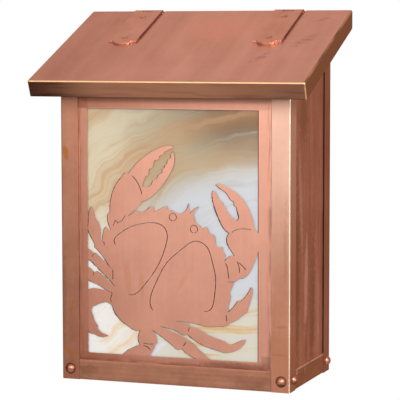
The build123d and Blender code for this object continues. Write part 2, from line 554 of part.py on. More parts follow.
# ---------------------------------------------------------------- hinge straps
# Heavy strip riveted on the lid, its back end rolled round the pin in two knuckles and
# its front end cut to a round-nosed tongue between two small shoulders.
strap_slot = KNUCKLE_W + 0.6
shoulder = 3.5
tongue_half = 9.0
tongue_corner = 3.4      # the tongue's corners, beyond the shoulders
hinge_straps = {}
for name, side in SIDES.items():
    with BuildPart() as hinge_strap:
        with BuildSketch(hinge_section(side * STRAP_X)):
            with Locations(((STRAP_L + TONGUE_L) / 2, LID_TOP + STRAP_T / 2)):
                Rectangle(STRAP_L + TONGUE_L, STRAP_T)
            Circle(ROLL_R)
            Circle(PIN_R + RUN_FIT, mode=Mode.SUBTRACT)
        extrude(amount=STRAP_HALF, both=True)
        with BuildSketch(lid_plane(0, side * STRAP_X)):
            Rectangle(strap_slot, 2 * KNUCKLE_CLEAR)
        extrude(amount=THROUGH, both=True, mode=Mode.SUBTRACT)
        with BuildSketch(lid_plane(0, side * STRAP_X)):
            for hand in SIDES.values():
                outer = hand * (STRAP_HALF + 1)
                inner = hand * (STRAP_HALF - shoulder)
                corner = (hand * tongue_half, -STRAP_L - tongue_corner)
                cove = (hand * (tongue_half + 0.6), -STRAP_L - 0.9)
                nose = (0, -STRAP_L - TONGUE_L)
                with BuildLine():
                    Line((outer, -STRAP_L), (inner, -STRAP_L))
                    ThreePointArc((inner, -STRAP_L), cove, corner)
                    TangentArc(nose, corner, tangent=(hand, 0))
                    Polyline(nose, (0, -STRAP_L - THROUGH), (outer, -STRAP_L - THROUGH),
                             (outer, -STRAP_L))
                make_face()
            for drop in STRAP_RIVET_DROPS:
                with Locations((0, -drop)):
                    Circle(HOLE_R)
        extrude(amount=THROUGH, both=True, mode=Mode.SUBTRACT)
    hinge_straps[name] = hinge_strap

# ---------------------------------------------------------------- fixed hinge leaves
# Riveted inside the back panel; the middle knuckle is rolled on the leaf's upper end.
leaf_face = -SHEET - STRAP_T
leaf_middle = -SHEET - STRAP_T / 2
hinge_leaves = {}
for name, side in SIDES.items():
    with BuildPart() as hinge_leaf:
        with BuildSketch(Plane.YZ.offset(side * STRAP_X)):
            with Locations((leaf_middle, PIN_Z - (LEAF_L + KNUCKLE_CLEAR) / 2)):
                Rectangle(STRAP_T, LEAF_L - KNUCKLE_CLEAR)
        extrude(amount=STRAP_HALF, both=True)
        with BuildSketch(Plane.YZ.offset(side * STRAP_X)):
            with Locations((leaf_middle, PIN_Z - KNUCKLE_CLEAR / 2)):
                Rectangle(STRAP_T, KNUCKLE_CLEAR)
            with Locations((PIN_Y, PIN_Z)):
                Circle(ROLL_R)
                Circle(PIN_R + DRIVE_FIT, mode=Mode.SUBTRACT)
        extrude(amount=KNUCKLE_W / 2, both=True)
        with BuildSketch(Plane.XZ):
            for drop in LEAF_RIVET_DROPS:
                with Locations((side * STRAP_X, PIN_Z - drop)):
                    Circle(HOLE_R)
        extrude(amount=THROUGH, both=True, mode=Mode.SUBTRACT)
    hinge_leaves[name] = hinge_leaf

# ---------------------------------------------------------------- hinge pins
# Copper rod, held by the middle knuckle and peened over at both ends.
pin_half = STRAP_HALF + PIN_HEAD_OUT
hinge_pins = {}
for name, side in SIDES.items():
    with BuildPart() as hinge_pin:
        with BuildSketch(Plane.YZ.offset(side * STRAP_X)):
            with Locations((PIN_Y, PIN_Z)):
                Circle(PIN_R)
        extrude(amount=pin_half, both=True)
        for end in SIDES.values():
            with BuildSketch(Plane.YZ.offset(side * STRAP_X + end * (pin_half - PIN_HEAD_T / 2))):
                with Locations((PIN_Y, PIN_Z)):
                    Circle(PIN_HEAD_R)
            extrude(amount=PIN_HEAD_T / 2, both=True)
    hinge_pins[name] = hinge_pin

# ---------------------------------------------------------------- hinge rivets
# Low domes on the straps; on the leaves the domes are inside and the tails are filed flush.
with BuildPart() as strap_rivets:
    for side in SIDES.values():
        for drop in STRAP_RIVET_DROPS:
            top = lid_plane(LID_TOP + STRAP_T, side * STRAP_X).origin + down_slope * drop
            seat = Plane(origin=top, x_dir=(1, 0, 0), z_dir=lid_up)
            rivet(seat, DOME_R, DOME_H, SHEET + STRAP_T, TAIL_R, TAIL_H)
with BuildPart() as leaf_rivets:
    for side in SIDES.values():
        for drop in LEAF_RIVET_DROPS:
            inside = (side * STRAP_X, leaf_face, PIN_Z - drop)
            seat = Plane(origin=inside, x_dir=(1, 0, 0), z_dir=(0, -1, 0))
            rivet(seat, DOME_R, DOME_H, STRAP_T + SHEET / 2, TAIL_R, SHEET / 2 - RUN_FIT)

# ---------------------------------------------------------------- write the pieces
pieces = {
    "back_panel": back_panel,
    "bottom_tray": bottom_tray,
    "crab_panel": crab_panel,
    "art_glass": art_glass,
    "glass_clips": glass_clips,
    "front_corner_rivets": front_corner_rivets,
    "side_front_rivets": side_front_rivets,
    "side_rear_rivets": side_rear_rivets,
    "lid_pan": lid_pan,
    "strap_rivets": strap_rivets,
    "leaf_rivets": leaf_rivets,
}
for name in SIDES:
    pieces[f"{name}_side_panel"] = side_panels[name]
    pieces[f"{name}_corner_angle"] = corner_angles[name]
    pieces[f"{name}_hinge_strap"] = hinge_straps[name]
    pieces[f"{name}_hinge_leaf"] = hinge_leaves[name]
    pieces[f"{name}_hinge_pin"] = hinge_pins[name]
for label, piece in pieces.items():
    piece.part.label = label
    export_step(piece.part, f"parts/{label}.step")
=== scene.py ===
import json
import math

import bmesh
import bpy
from mathutils import Matrix, Vector, noise


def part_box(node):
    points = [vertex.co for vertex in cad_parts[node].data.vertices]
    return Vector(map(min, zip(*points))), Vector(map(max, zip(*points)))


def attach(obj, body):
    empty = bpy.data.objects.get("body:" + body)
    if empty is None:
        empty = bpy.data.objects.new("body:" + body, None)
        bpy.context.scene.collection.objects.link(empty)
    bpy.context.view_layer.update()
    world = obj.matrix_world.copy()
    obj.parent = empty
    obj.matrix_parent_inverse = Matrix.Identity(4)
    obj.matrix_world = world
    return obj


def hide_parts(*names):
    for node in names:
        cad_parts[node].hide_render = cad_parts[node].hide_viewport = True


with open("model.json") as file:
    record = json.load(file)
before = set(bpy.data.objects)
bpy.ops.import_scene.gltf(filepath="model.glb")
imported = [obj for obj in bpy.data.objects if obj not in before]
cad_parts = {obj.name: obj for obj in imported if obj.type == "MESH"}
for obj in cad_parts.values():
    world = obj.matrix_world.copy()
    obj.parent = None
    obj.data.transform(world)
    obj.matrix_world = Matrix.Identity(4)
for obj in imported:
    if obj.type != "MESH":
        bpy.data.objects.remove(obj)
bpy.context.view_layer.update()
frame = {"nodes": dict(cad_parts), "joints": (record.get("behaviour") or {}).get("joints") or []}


# The studio. The mailbox hangs before a white sweep, seen from a little above and to its right through
# a long lens. A pale floor lies well below it. Of the four soft boxes, one stands in front, one draws
# the shadows from the right, a tall strip lights the corners and the last hangs over the lid.
MM = 0.001
LENS = 166.6
SENSOR = 36.0
CAMERA_PLACE = Vector((0.6809, -1.9305, 0.1770))
CAMERA_TURN = math.radians(20.05)
CAMERA_TILT = math.radians(5.15)
CAMERA_ROLL = math.radians(-0.07)
WHITE = (1.0, 1.0, 1.0, 1.0)
BLACK = (0.0, 0.0, 0.0, 1.0)


class Wire:
    """A value, colour or vector on its way through a shader. Sums on values add Math nodes."""

    def __init__(self, tree, socket):
        self.tree = tree
        self.socket = socket

    def node(self, kind, settings, sockets, output=0):
        """Adds a node: its settings first, then a number, a colour or a wire for each socket."""
        made = self.tree.nodes.new("ShaderNode" + kind)
        for name, setting in settings.items():
            setattr(made, name, setting)
        for name, given in sockets.items():
            if isinstance(given, Wire):
                self.tree.links.new(given.socket, made.inputs[name])
            else:
                made.inputs[name].default_value = given
        return Wire(self.tree, made.outputs[output])

    def maths(self, operation, one, other=0.0):
        return self.node("Math", {"operation": operation}, {0: one, 1: other})

    def __add__(self, other):
        return self.maths("ADD", self, other)

    def __radd__(self, other):
        return self.maths("ADD", other, self)

    def __sub__(self, other):
        return self.maths("SUBTRACT", self, other)

    def __rsub__(self, other):
        return self.maths("SUBTRACT", other, self)

    def __mul__(self, other):
        return self.maths("MULTIPLY", self, other)

    def __rmul__(self, other):
        return self.maths("MULTIPLY", other, self)

    def __truediv__(self, other):
        return self.maths("DIVIDE", self, other)

    def __rtruediv__(self, other):
        return self.maths("DIVIDE", other, self)

    def __abs__(self):
        return self.maths("ABSOLUTE", self)

    def larger(self, other):
        return self.maths("MAXIMUM", self, other)

    def bearing(self, ahead):
        """The angle from straight ahead, where this value is how far to the right."""
        return self.maths("ARCTAN2", self, ahead)

    def rise(self, low, high):
        """0 below low, 1 above high, with a soft step between."""
        settings = {"interpolation_type": "SMOOTHSTEP"}
        return self.node("MapRange", settings, {"Value": self, "From Min": low, "From Max": high})

    def band(self, low, high, soft):
        """1 between low and high, fading to 0 over the soft width outside them."""
        return self.rise(low - soft, low) * (1 - self.rise(high, high + soft))

    def mix(self, one, other):
        """The colour one where this value is 0, and other where it is 1."""
        return self.node("Mix", {"data_type": "RGBA"}, {0: self, 6: one, 7: other}, output=2)

    def axes(self):
        """The three numbers of a vector."""
        made = self.node("SeparateXYZ", {}, {0: self})
        outputs = made.socket.node.outputs
        return [Wire(self.tree, outputs[i]) for i in range(3)]

    def stretch(self, x, y, z):
        """A vector with each of its numbers scaled."""
        return self.node("VectorMath", {"operation": "MULTIPLY"}, {0: self, 1: (x, y, z)})

    def shift(self, amount):
        """A vector moved by another."""
        return self.node("VectorMath", {"operation": "ADD"}, {0: self, 1: amount})

    def away(self, centre):
        """A vector measured from a centre."""
        return self.shift(tuple(-c for c in centre))

    def length(self):
        """How long a vector is."""
        return self.node("VectorMath", {"operation": "LENGTH"}, {0: self}, output=1)

    def noise(self, size, detail=2.0, rough=0.5, output=0):
        """Cloudy noise from 0 to 1 whose lumps are about size across."""
        sockets = {"Vector": self, "Scale": 1.0 / size, "Detail": detail, "Roughness": rough}
        return self.node("TexNoise", {}, sockets, output)

    def eddies(self, size):
        """The same noise as a vector about nought, for pushing a pattern about."""
        return self.noise(size, output=1).shift((-0.5, -0.5, -0.5))


def tint(red, green, blue):
    """A colour as it is seen on a chart, from 0 to 255, made ready for the shaders."""
    linear = [((c / 255 + 0.055) / 1.055) ** 2.4 for c in (red, green, blue)]
    return (*linear, 1.0)


def new_material(name):
    """A new material, and where each point of the piece is, in millimetres."""
    material = bpy.data.materials.new(name)
    material.use_nodes = True
    tree = material.node_tree
    tree.nodes.clear()
    coordinates = tree.nodes.new("ShaderNodeTexCoord")
    place = Wire(tree, coordinates.outputs["Object"]).stretch(1 / MM, 1 / MM, 1 / MM)
    return material, place


def surface(place, sockets):
    """Ends a material with its shader."""
    shader = place.node("BsdfPrincipled", {}, sockets)
    output = place.tree.nodes.new("ShaderNodeOutputMaterial")
    place.tree.links.new(shader.socket, output.inputs["Surface"])


forward = Vector((
    -math.sin(CAMERA_TURN) * math.cos(CAMERA_TILT),
    math.cos(CAMERA_TURN) * math.cos(CAMERA_TILT),
    -math.sin(CAMERA_TILT),
))
level_right = Vector((math.cos(CAMERA_TURN), math.sin(CAMERA_TURN), 0.0))
level_up = level_right.cross(forward)
right = math.cos(CAMERA_ROLL) * level_right + math.sin(CAMERA_ROLL) * level_up
up = math.cos(CAMERA_ROLL) * level_up - math.sin(CAMERA_ROLL) * level_right
lens = bpy.data.cameras.new("camera")
lens.lens = LENS
lens.sensor_width = SENSOR
camera = bpy.data.objects.new("camera", lens)
bpy.context.collection.objects.link(camera)
camera.matrix_world = Matrix.Translation(CAMERA_PLACE) @ Matrix((right, up, -forward)).transposed().to_4x4()
bpy.context.scene.camera = camera
bpy.context.scene.view_settings.view_transform = "Standard"

SWEEP = (-0.85, 0.02)
SWEEP_TOP = (0.25, 0.6)
SCREEN = (0.24, 1.25)
SCREEN_TOP = (0.3, 0.7)
SCREEN_COLOUR = (0.4, 0.37, 0.35, 1.0)
SOFT_EDGE = 0.12
WALL_LEVEL = 0.34
FRONT_WALL = (2.1, 2.7)
FRONT_LEVEL = 0.3
SKY = (0.1, 0.8)
SKY_LEVEL = 0.1


def studio_light(east, north, height):
    """The colour of the studio in a direction: a white sweep behind the mailbox, a warm grey screen
    past its right side, a bright wall in front of it and dim walls elsewhere."""
    bearing = east.bearing(north)
    sweep = bearing.band(*SWEEP, SOFT_EDGE) * (1 - height.rise(*SWEEP_TOP))
    screen = bearing.band(*SCREEN, SOFT_EDGE) * (1 - height.rise(*SCREEN_TOP))
    level = WALL_LEVEL + abs(bearing).rise(*FRONT_WALL) * FRONT_LEVEL + height.rise(*SKY) * SKY_LEVEL
    walls = (level * (1 - sweep) + sweep).mix(BLACK, WHITE)
    return screen.mix(walls, SCREEN_COLOUR)


world = bpy.data.worlds.new("studio")
bpy.context.scene.world = world
world.use_nodes = True
world.node_tree.nodes.clear()
around = world.node_tree.nodes.new("ShaderNodeTexCoord")
direction = Wire(world.node_tree, around.outputs["Generated"])
glow = direction.node("Background", {}, {"Color": studio_light(*direction.axes()), "Strength": 1.0})
world_out = world.node_tree.nodes.new("ShaderNodeOutputWorld")
world.node_tree.links.new(glow.socket, world_out.inputs["Surface"])

FLOOR_HEIGHT = -0.62
FLOOR_REACH = 14.0
POOL_EDGE = (600.0, 1500.0)
sheet = bmesh.new()
bmesh.ops.create_grid(sheet, x_segments=1, y_segments=1, size=FLOOR_REACH)
bmesh.ops.translate(sheet, verts=sheet.verts, vec=(0.0, 0.0, FLOOR_HEIGHT))
floor_mesh = bpy.data.meshes.new("floor")
sheet.to_mesh(floor_mesh)
sheet.free()
floor = bpy.data.objects.new("floor", floor_mesh)
bpy.context.collection.objects.link(floor)
floor_paint, spot = new_material("floor_paint")
east, north, height = spot.axes()
far = spot.stretch(1.0, 1.0, 0.0).length().rise(*POOL_EDGE)
surface(spot, {
    "Base Color": far.mix(tint(196, 196, 196), tint(5, 5, 5)),
    "Roughness": 0.9,
    "Specular IOR Level": 0.0,
    "Emission Color": far.mix(BLACK, studio_light(east, north, height * 0.0)),
    "Emission Strength": 1.0,
})
floor_mesh.materials.append(floor_paint)

LIT_SPOT = Vector((0.0, -0.1, 0.0))


def soft_box(name, centre, width, height, power):
    """A lamp with a flat white face turned to the mailbox."""
    lamp = bpy.data.lights.new(name, "AREA")
    lamp.shape = "RECTANGLE"
    lamp.size = width
    lamp.size_y = height
    lamp.energy = power
    box = bpy.data.objects.new(name, lamp)
    bpy.context.collection.objects.link(box)
    box.location = centre
    box.rotation_euler = (LIT_SPOT - Vector(centre)).to_track_quat("-Z", "Y").to_euler()
    box.visible_camera = False


soft_box("front_box", centre=(-0.5, -2.2, 0.75), width=1.3, height=1.0, power=10.0)
soft_box("key_box", centre=(1.25, -1.7, 0.85), width=0.34, height=0.34, power=34.0)
soft_box("edge_strip", centre=(2.1, -0.9, 0.1), width=0.3, height=1.8, power=9.0)
soft_box("lid_box", centre=(-0.7, 1.0, 1.7), width=1.2, height=1.0, power=3.0)


# The back and the two sides. They are plain sheets of copper, brushed up and down with a coarse pad
# and left to brown. The back is a shallow pan whose folded edges lap over the sides, and the burr is
# filed off every cut edge, so that it catches the light.
MERGE = 2e-6
FLAT = math.radians(1.5)
CORNER = math.radians(35)
SMOOTH = math.radians(32)
FILED = 0.00022
BRUSH_DEPTH = 0.00003
EDGE_TINT = tint(255, 205, 180)
BRIGHT_EDGE = tint(255, 226, 198)
SCRAPED = tint(252, 198, 176)
PATINA_AND_SHADE = tint(124, 78, 60)
DARK = tint(66, 42, 33)
UPRIGHT = (1.0, 1.0, 70.0)
ALONG_SIDE = (1, 0, 0)
ALONG_FRONT = (0, 1, 0)
STAIN_DEPTH = 40.0


def corners_of(node):
    """The lowest and highest corners of a node, in millimetres."""
    low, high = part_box(node)
    return low / MM, high / MM


tray_low, tray_high = corners_of("bottom_tray")
SIDE = tray_high.x
FRONT = tray_low.y
rivets_low, rivets_high = corners_of("front_corner_rivets")
HEAD = (rivets_high.z - rivets_low.z) / 2
RIVET_LEVEL = (rivets_high.z + rivets_low.z) / 2
RIVET_OUT = rivets_high.x - HEAD
FRONT_RIVET = sum(corner.y for corner in corners_of("side_front_rivets")) / 2
REAR_RIVET = sum(corner.y for corner in corners_of("side_rear_rivets")) / 2


def finished(shape, name, body, material, node):
    """Turns a worked shape into a piece of the mailbox, which stands for that node."""
    mesh = bpy.data.meshes.new(name)
    for face in shape.faces:
        face.smooth = True
    shape.to_mesh(mesh)
    shape.free()
    if "custom_normal" in mesh.attributes:
        mesh.attributes.remove(mesh.attributes["custom_normal"])
    mesh.set_sharp_from_angle(angle=SMOOTH)
    mesh.materials.append(material)
    piece = bpy.data.objects.new(name, mesh)
    bpy.context.collection.objects.link(piece)
    flatten = piece.modifiers.new("flat_faces", "WEIGHTED_NORMAL")
    flatten.keep_sharp = True
    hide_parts(node)
    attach(piece, body)
    return piece


def dressed(node, name, body, material, filed=FILED):
    """A worked piece with its shape from the frame and its sharp edges eased."""
    shape = bmesh.new()
    shape.from_mesh(frame["nodes"][node].data)
    bmesh.ops.remove_doubles(shape, verts=shape.verts, dist=MERGE)
    if filed:
        bmesh.ops.dissolve_limit(
            shape, angle_limit=FLAT, use_dissolve_boundaries=False,
            verts=shape.verts, edges=shape.edges, delimit={"NORMAL"},
        )
        corners = [edge for edge in shape.edges if edge.calc_face_angle(0.0) > CORNER]
        bmesh.ops.bevel(
            shape, geom=corners, offset=filed, offset_type="OFFSET", segments=2, profile=0.5,
            affect="EDGES", clamp_overlap=True, material=-1,
        )
    return finished(shape, name, body, material, node)


def smear(place, centre, size, axis, lean, ragged):
    """A soft ragged spot: 1 in the middle of a mark of that size, leaning round the axis, and 0 outside."""
    settings = {"rotation_type": "AXIS_ANGLE"}
    sockets = {"Vector": place, "Center": centre, "Axis": axis, "Angle": math.radians(lean)}
    offset = place.node("VectorRotate", settings, sockets).away(centre)
    reach = offset.stretch(*(1 / s for s in size)).length() + (place.noise(5.0, detail=3.0) - 0.5) * ragged
    return 1 - reach.rise(0.45, 1.0)


def stain(colour, strength, centre, size, axis, lean=0.0, ragged=0.5):
    """A blot for copper(): a smear of that colour, as strong as it says."""
    return colour, lambda place: smear(place, centre, size, axis, lean, ragged) * strength


def side_stain(colour, strength, back, up, wide, high, lean=0.0, ragged=0.5):
    """A stain on the right side of the box: how far back and up it is, and half its width and height."""
    return stain(colour, strength, (SIDE, back, up), (STAIN_DEPTH, wide, high), ALONG_SIDE, lean, ragged)


def shade_ring(strength, centre, axis):
    """A blot for a ring of painted shade round the head of a rivet that points along that axis."""
    flat = [1 - part for part in axis]
    return DARK, lambda place: (
        place.away(centre).stretch(*flat).length().band(HEAD - 0.4, HEAD + 0.6, 0.5) * strength
    )


def copper(name, deep, pale, shade, grain, blots=(), roughness=0.36, cloud=0.5, brush=0.5):
    """Brushed copper. shade(place) says how pale each point is, from 0 to 1, and grain is the size of
    one brush mark along X, Y and Z. blots are pairs of a colour and a mask(place) of where it lies."""
    material, place = new_material(name)
    marks = place.stretch(*(1 / size for size in grain))
    scratch = marks.noise(1.0, detail=3.0, rough=0.6)
    sweep = marks.stretch(0.2, 0.2, 0.3).noise(1.0)
    haze = place.noise(46.0, detail=3.0, rough=0.55)
    mottle = place.noise(7.0, detail=4.0, rough=0.6)
    tone = shade(place) + (haze + mottle * 0.6 - 0.8) * cloud + (sweep * 0.9 + scratch * 0.6 - 0.75) * brush
    colour = tone.node("Clamp", {}, {"Value": tone}).mix(deep, pale)
    for blot, mask in blots:
        colour = mask(place).mix(colour, blot)
    bump = {"Strength": 0.3, "Distance": BRUSH_DEPTH, "Height": scratch + sweep * 2}
    surface(place, {
        "Base Color": colour,
        "Metallic": 1.0,
        "Specular Tint": EDGE_TINT,
        "Roughness": roughness + (haze - 0.5) * 0.14 + (scratch - 0.5) * 0.12 + (mottle - 0.5) * 0.08,
        "Normal": place.node("Bump", {}, bump),
    })
    return material


def side_shade(place):
    """Streaks down the sheet, darkening towards the wall."""
    drips = place.stretch(0.0, 0.1, 0.006).noise(1.0, detail=3.0)
    runs = place.stretch(0.0, 0.4, 0.014).noise(1.0, detail=3.0)
    dark_runs = runs.rise(0.54, 0.66) * drips.rise(0.4, 0.6)
    near_wall = place.axes()[1].rise(-32.0, -8.0)
    return 0.5 + (drips - 0.5) * 1.2 + (runs - 0.5) * 0.8 - dark_runs * 0.6 - near_wall * 0.5


def back_shade(place):
    """Faint streaks down the sheet."""
    return 0.4 + (place.stretch(0.05, 0.05, 0.006).noise(1.0) - 0.5) * 0.8


def back_edge(place):
    """The cut edge of the folded sides, left dark from the shears."""
    edge = corners_of("back_panel")[0].y
    return 1 - place.axes()[1].rise(edge + 0.2, edge + 0.6)


side_copper = copper(
    "side_copper", tint(176, 112, 92), tint(236, 166, 142), side_shade, UPRIGHT, roughness=0.38,
    cloud=0.7,
    blots=(
        side_stain(PATINA_AND_SHADE, 0.5, -120, -70, 12, 120, ragged=1.7),
        side_stain(PATINA_AND_SHADE, 0.45, -64, -100, 14, 90, ragged=1.7),
        side_stain(PATINA_AND_SHADE, 0.35, -98, 92, 22, 40, ragged=1.7),
        side_stain(SCRAPED, 0.8, -87, -84, 7.5, 66, lean=3, ragged=0.9),
        side_stain(SCRAPED, 0.5, -106, 4, 6, 70, lean=-6, ragged=1.1),
        side_stain(SCRAPED, 0.35, -42, -120, 7, 56, ragged=1.2),
        shade_ring(0.7, (SIDE, FRONT_RIVET, RIVET_LEVEL), ALONG_SIDE),
        shade_ring(0.7, (SIDE, REAR_RIVET, RIVET_LEVEL), ALONG_SIDE),
    ),
)
back_copper = copper(
    "back_copper", tint(158, 98, 78), tint(214, 146, 122), back_shade, UPRIGHT, roughness=0.4,
    blots=((DARK, back_edge),),
)
dressed("back_panel", "back_sheet", "box", back_copper)
dressed("left_side_panel", "left_side_sheet", "box", side_copper)
dressed("right_side_panel", "right_side_sheet", "box", side_copper)


# The bottom tray. One sheet with all four edges turned up, so that it closes the foot of the box and
# shows as a band round it, browner than the sheet above because water stands on it.
TRAY_TOP = tray_high.z


def front_stain(colour, strength, across, up, wide, high, lean=0.0, ragged=0.5):
    """A stain on the front of the box: how far across and up it is, and half its width and height."""
    return stain(colour, strength, (across, FRONT, up), (wide, STAIN_DEPTH, high), ALONG_FRONT, lean, ragged)


def tray_shade(place):
    """Browner to the right, and rubbed along the upper edge."""
    x, _, z = place.axes()
    pools = place.stretch(0.04, 0.04, 0.07).noise(1.0, detail=4.0)
    upper_edge = z.rise(TRAY_TOP - 2.6, TRAY_TOP - 0.4)
    return 0.45 + (pools - 0.5) * 0.9 - x.rise(40.0, 120.0) * 0.15 + upper_edge * 0.3


def rubbed_rim(place):
    """The upper edge of the tray along the side of the box."""
    x, _, z = place.axes()
    patches = place.stretch(0.0, 0.1, 0.0).noise(1.0, detail=3.0).rise(0.35, 0.6)
    return x.rise(SIDE - 1.5, SIDE - 0.8) * z.rise(TRAY_TOP - 2.2, TRAY_TOP - 1.0) * (0.35 + patches * 0.65)


tray_copper = copper(
    "tray_copper", tint(164, 106, 80), tint(216, 152, 124), tray_shade, (70.0, 70.0, 1.0),
    blots=(
        (BRIGHT_EDGE, rubbed_rim),
        side_stain(SCRAPED, 1.0, -121, -173, 3, 4, lean=30, ragged=1.2),
        side_stain(SCRAPED, 0.8, -20, -176, 2, 6, ragged=1.2),
        side_stain(SCRAPED, 0.5, -92, -174, 2, 5, lean=20, ragged=1.2),
        front_stain(PATINA_AND_SHADE, 0.3, 86, -181, 30, 9, ragged=1.2),
        front_stain(PATINA_AND_SHADE, 0.35, -96, -180, 14, 8, ragged=1.2),
    ),
)
dressed("bottom_tray", "foot_tray", "box", tray_copper)


# The front panel. A sheet with the crab and its claws left standing in a sawn window, with the lines
# of its shell and joints sawn right through. The saw leant over, so that the wall of each cut shows on the
# left, painted dark as a painted shadow on the glass. The crab is polished smoother than the border round
# it.
SAW_LEAN = (0.0012, 0.0002)
GLASS_LAP = 8.0
BESIDE_WINDOW = 0.0006

glass_low, glass_high = corners_of("art_glass")
WINDOW_LEFT = glass_low.x + GLASS_LAP
WINDOW_RIGHT = glass_high.x - GLASS_LAP
WINDOW_FOOT = glass_low.z + GLASS_LAP
WINDOW_TOP = glass_high.z - GLASS_LAP
ANGLE_EDGE = corners_of("right_corner_angle")[0].x
PANEL_FACE = corners_of("crab_panel")[0].y
LEAN_START = PANEL_FACE + 0.5
WARM_BROWN = tint(212, 136, 92)


def crab_shade(place):
    """Paler up and to the right as painted light, with a brown border on the left and at the foot, and the
    painted shadow of the lid along the top.
    """
    x, _, z = place.axes()
    field = 0.3 + x.rise(-120.0, -10.0) * 0.3 + z.rise(-165.0, 60.0) * 0.22
    left_border = 1 - x.rise(WINDOW_LEFT - 1.0, WINDOW_LEFT + 2.0)
    painted_lid_shadow = z.rise(WINDOW_TOP - 0.8, WINDOW_TOP + 1.2) * (1 - x.rise(-60.0, 120.0) * 0.6)
    foot = 1 - z.rise(WINDOW_FOOT - 2.6, WINDOW_FOOT + 2.4)
    return field - left_border * 0.22 - painted_lid_shadow * 0.42 - foot * 0.32


def grime_and_shade(place):
    """Dirt and painted shade along the corner angles and over the tray, and painted shade under the lid."""
    x, _, z = place.axes()
    sides = abs(x).rise(ANGLE_EDGE - 6.5, ANGLE_EDGE - 0.2)
    sides = sides * place.stretch(0.5, 0.0, 0.03).noise(1.0, detail=3.0).rise(0.4, 0.62)
    foot = 1 - z.rise(TRAY_TOP + 1.0, TRAY_TOP + 4.9)
    foot = foot * place.stretch(0.05, 0.0, 0.2).noise(1.0, detail=3.0).rise(0.35, 0.6)
    # Painted shade right under the lid.
    top = z.rise(103.0, 108.5)
    return sides.larger(foot).larger(top) * 0.55


def sawn_wall_shadow(place):
    """The walls of the sawn edges, behind the face, painted dark as a painted shadow on the glass."""
    return place.axes()[1].rise(PANEL_FACE + 0.04, PANEL_FACE + 0.15)


crab_copper = copper(
    "crab_copper", tint(178, 112, 86), tint(250, 184, 160), crab_shade, UPRIGHT,
    cloud=0.2, brush=0.13, roughness=0.4,
    blots=(
        front_stain(WARM_BROWN, 0.35, -52, -78, 5, 22, lean=8, ragged=1.6),
        front_stain(WARM_BROWN, 0.3, -36, -84, 4, 18, lean=4, ragged=1.6),
        front_stain(WARM_BROWN, 0.25, 10, -80, 3, 14, lean=-30, ragged=1.6),
        front_stain(PATINA_AND_SHADE, 0.35, 102, -158, 9, 7, ragged=1.6),
        front_stain(PATINA_AND_SHADE, 0.5, 70, -166, 50, 5, ragged=1.2),
        # Dirt and painted shade at the joints, and painted shade under the lid.
        (PATINA_AND_SHADE, grime_and_shade),
        # The sawn walls, painted dark as painted shadow.
        (DARK, sawn_wall_shadow),
    ),
)
crab = dressed("crab_panel", "crab_cutout", "box", crab_copper, filed=0.0)
for point in crab.data.vertices:
    across = WINDOW_LEFT * MM - BESIDE_WINDOW < point.co.x < WINDOW_RIGHT * MM + BESIDE_WINDOW
    upward = WINDOW_FOOT * MM - BESIDE_WINDOW < point.co.z < WINDOW_TOP * MM + BESIDE_WINDOW
    if across and upward and point.co.y > LEAN_START * MM:
        point.co.x -= SAW_LEAN[0]
        point.co.z -= SAW_LEAN[1]


# The corner angles. Each is a strip folded to a right angle that covers the joint of front and side.
# The fold carries a painted highlight. The left one is water-stained; the two are lit and shaded copies of
# one copper, the left painted darker and browner and the right paler, and both are painted paler towards the
# top as painted light.
OCHRE = tint(186, 112, 54)


def left_shade(place):
    """A little paler towards the top, as painted light."""
    return 0.3 + place.axes()[2].rise(-180.0, 110.0) * 0.3


def right_shade(place):
    """Brown at the foot and pale at the top, as painted light and shade."""
    return place.axes()[2].rise(-170.0, 120.0)


def fold_mask(place):
    """Where the fold of an angle turns the corner, which gets a painted highlight."""
    x, y, _ = place.axes()
    return abs(x).rise(SIDE - 1.7, SIDE - 0.8) * (1 - y.rise(FRONT + 0.8, FRONT + 1.7))


def under_lid(place):
    """Shade and soot in the corner below the lid."""
    return place.axes()[2].rise(84.0, 112.0) * 0.45


# The two angles are painted as lit and shaded copies: the left darker and browner, the right paler, as
# painted light from the right.
left_copper = copper(
    "left_angle_copper", tint(160, 100, 76), tint(212, 150, 122), left_shade, UPRIGHT,
    cloud=0.6, brush=0.35,
    blots=(
        front_stain(OCHRE, 0.85, -121.5, 52, 4, 12, lean=12, ragged=1.2),
        front_stain(OCHRE, 0.8, -115, -111, 1.8, 11, lean=-8),
        front_stain(OCHRE, 0.9, -119, -160, 11, 2.2, lean=-30),
        front_stain(OCHRE, 0.6, -122, -186, 5, 4),
        front_stain(PATINA_AND_SHADE, 0.3, -124, -100, 3, 60, ragged=1.4),
        (PATINA_AND_SHADE, under_lid),
        shade_ring(0.8, (-RIVET_OUT, FRONT, RIVET_LEVEL), ALONG_FRONT),
        # A faint painted highlight on the fold.
        (BRIGHT_EDGE, lambda place: fold_mask(place) * 0.3),
    ),
)
right_copper = copper(
    "right_angle_copper", tint(206, 138, 108), tint(246, 196, 172), right_shade, UPRIGHT,
    cloud=0.4, brush=0.3,
    blots=(
        front_stain(PATINA_AND_SHADE, 0.2, 118, -122, 9, 1.6, lean=6, ragged=0.8),
        front_stain(PATINA_AND_SHADE, 0.15, 116, -151, 12, 1.6, ragged=0.8),
        front_stain(PATINA_AND_SHADE, 0.15, 122, -40, 3, 50, ragged=1.6),
        (PATINA_AND_SHADE, under_lid),
        shade_ring(0.8, (RIVET_OUT, FRONT, RIVET_LEVEL), ALONG_FRONT),
        # A painted highlight on the fold.
        (BRIGHT_EDGE, fold_mask),
    ),
)
dressed("left_corner_angle", "left_angle", "box", left_copper)
dressed("right_corner_angle", "right_angle", "box", right_copper)


